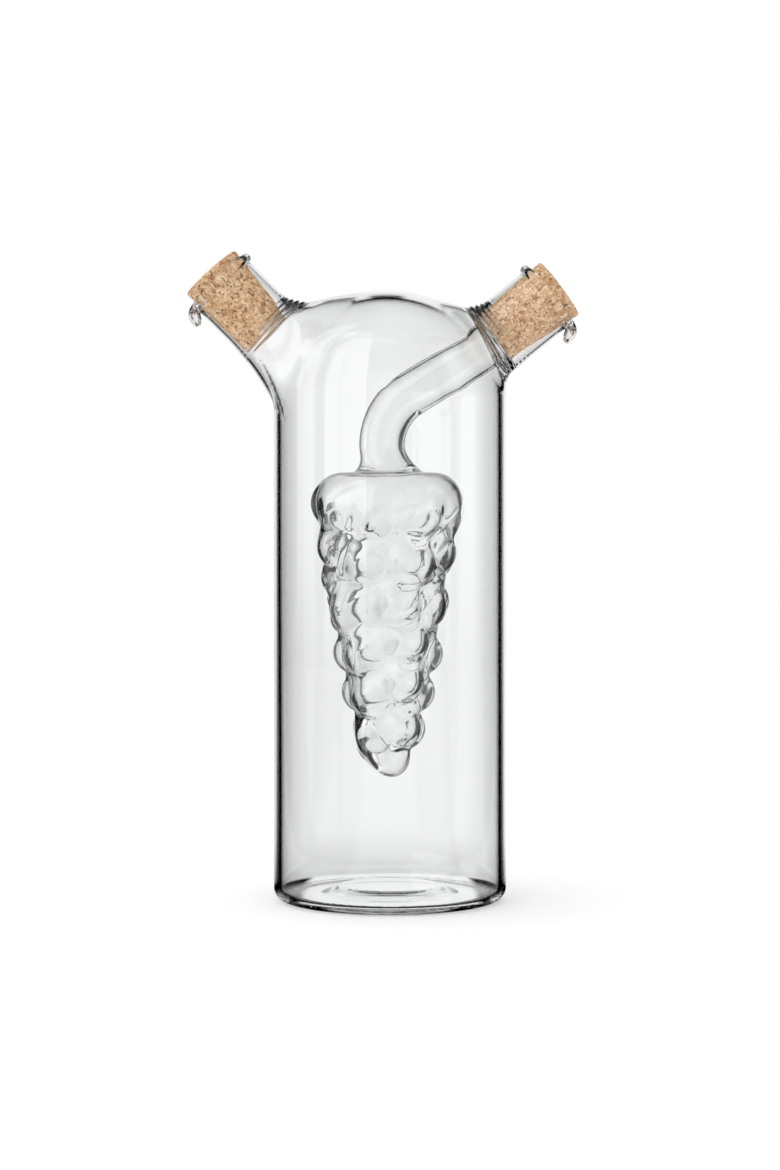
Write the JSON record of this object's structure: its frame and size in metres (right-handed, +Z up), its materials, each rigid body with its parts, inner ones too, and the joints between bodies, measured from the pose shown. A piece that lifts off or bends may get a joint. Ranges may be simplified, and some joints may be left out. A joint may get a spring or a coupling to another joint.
{
  "type": "oil and vinegar cruet",
  "caption": "Clear glass cruet: a domed cylinder for oil around a grape-shaped inner vessel for vinegar, with a slanted pouring neck and tapered cork for each.",
  "frame": {"origin": "on the body's axis, at the plane of the ring that the vessel stands on", "axes": "+Z up along the body's axis, -X towards the oil neck, +X towards the vinegar neck, -Y towards the viewer of the front"},
  "size_m": [0.1094, 0.065, 0.1815],
  "materials": {
    "glass": "clear polished borosilicate glass",
    "cork": "bare agglomerated cork"
  },
  "bodies": {
    "vessel": {"outer_vessel": "glass", "inner_vessel": "glass"},
    "oil_cork": {"oil_stopper": "cork"},
    "vinegar_cork": {"vinegar_stopper": "cork"}
  },
  "joints": [
    {"name": "oil_stopper_pull", "type": "slide", "parent": "vessel", "child": "oil_cork", "axis": [-0.7071, 0, 0.7071], "range_m": [0, 0.03]},
    {"name": "vinegar_stopper_pull", "type": "slide", "parent": "vessel", "child": "vinegar_cork", "axis": [0.7771, 0, 0.6293], "range_m": [0, 0.03]}
  ]
}
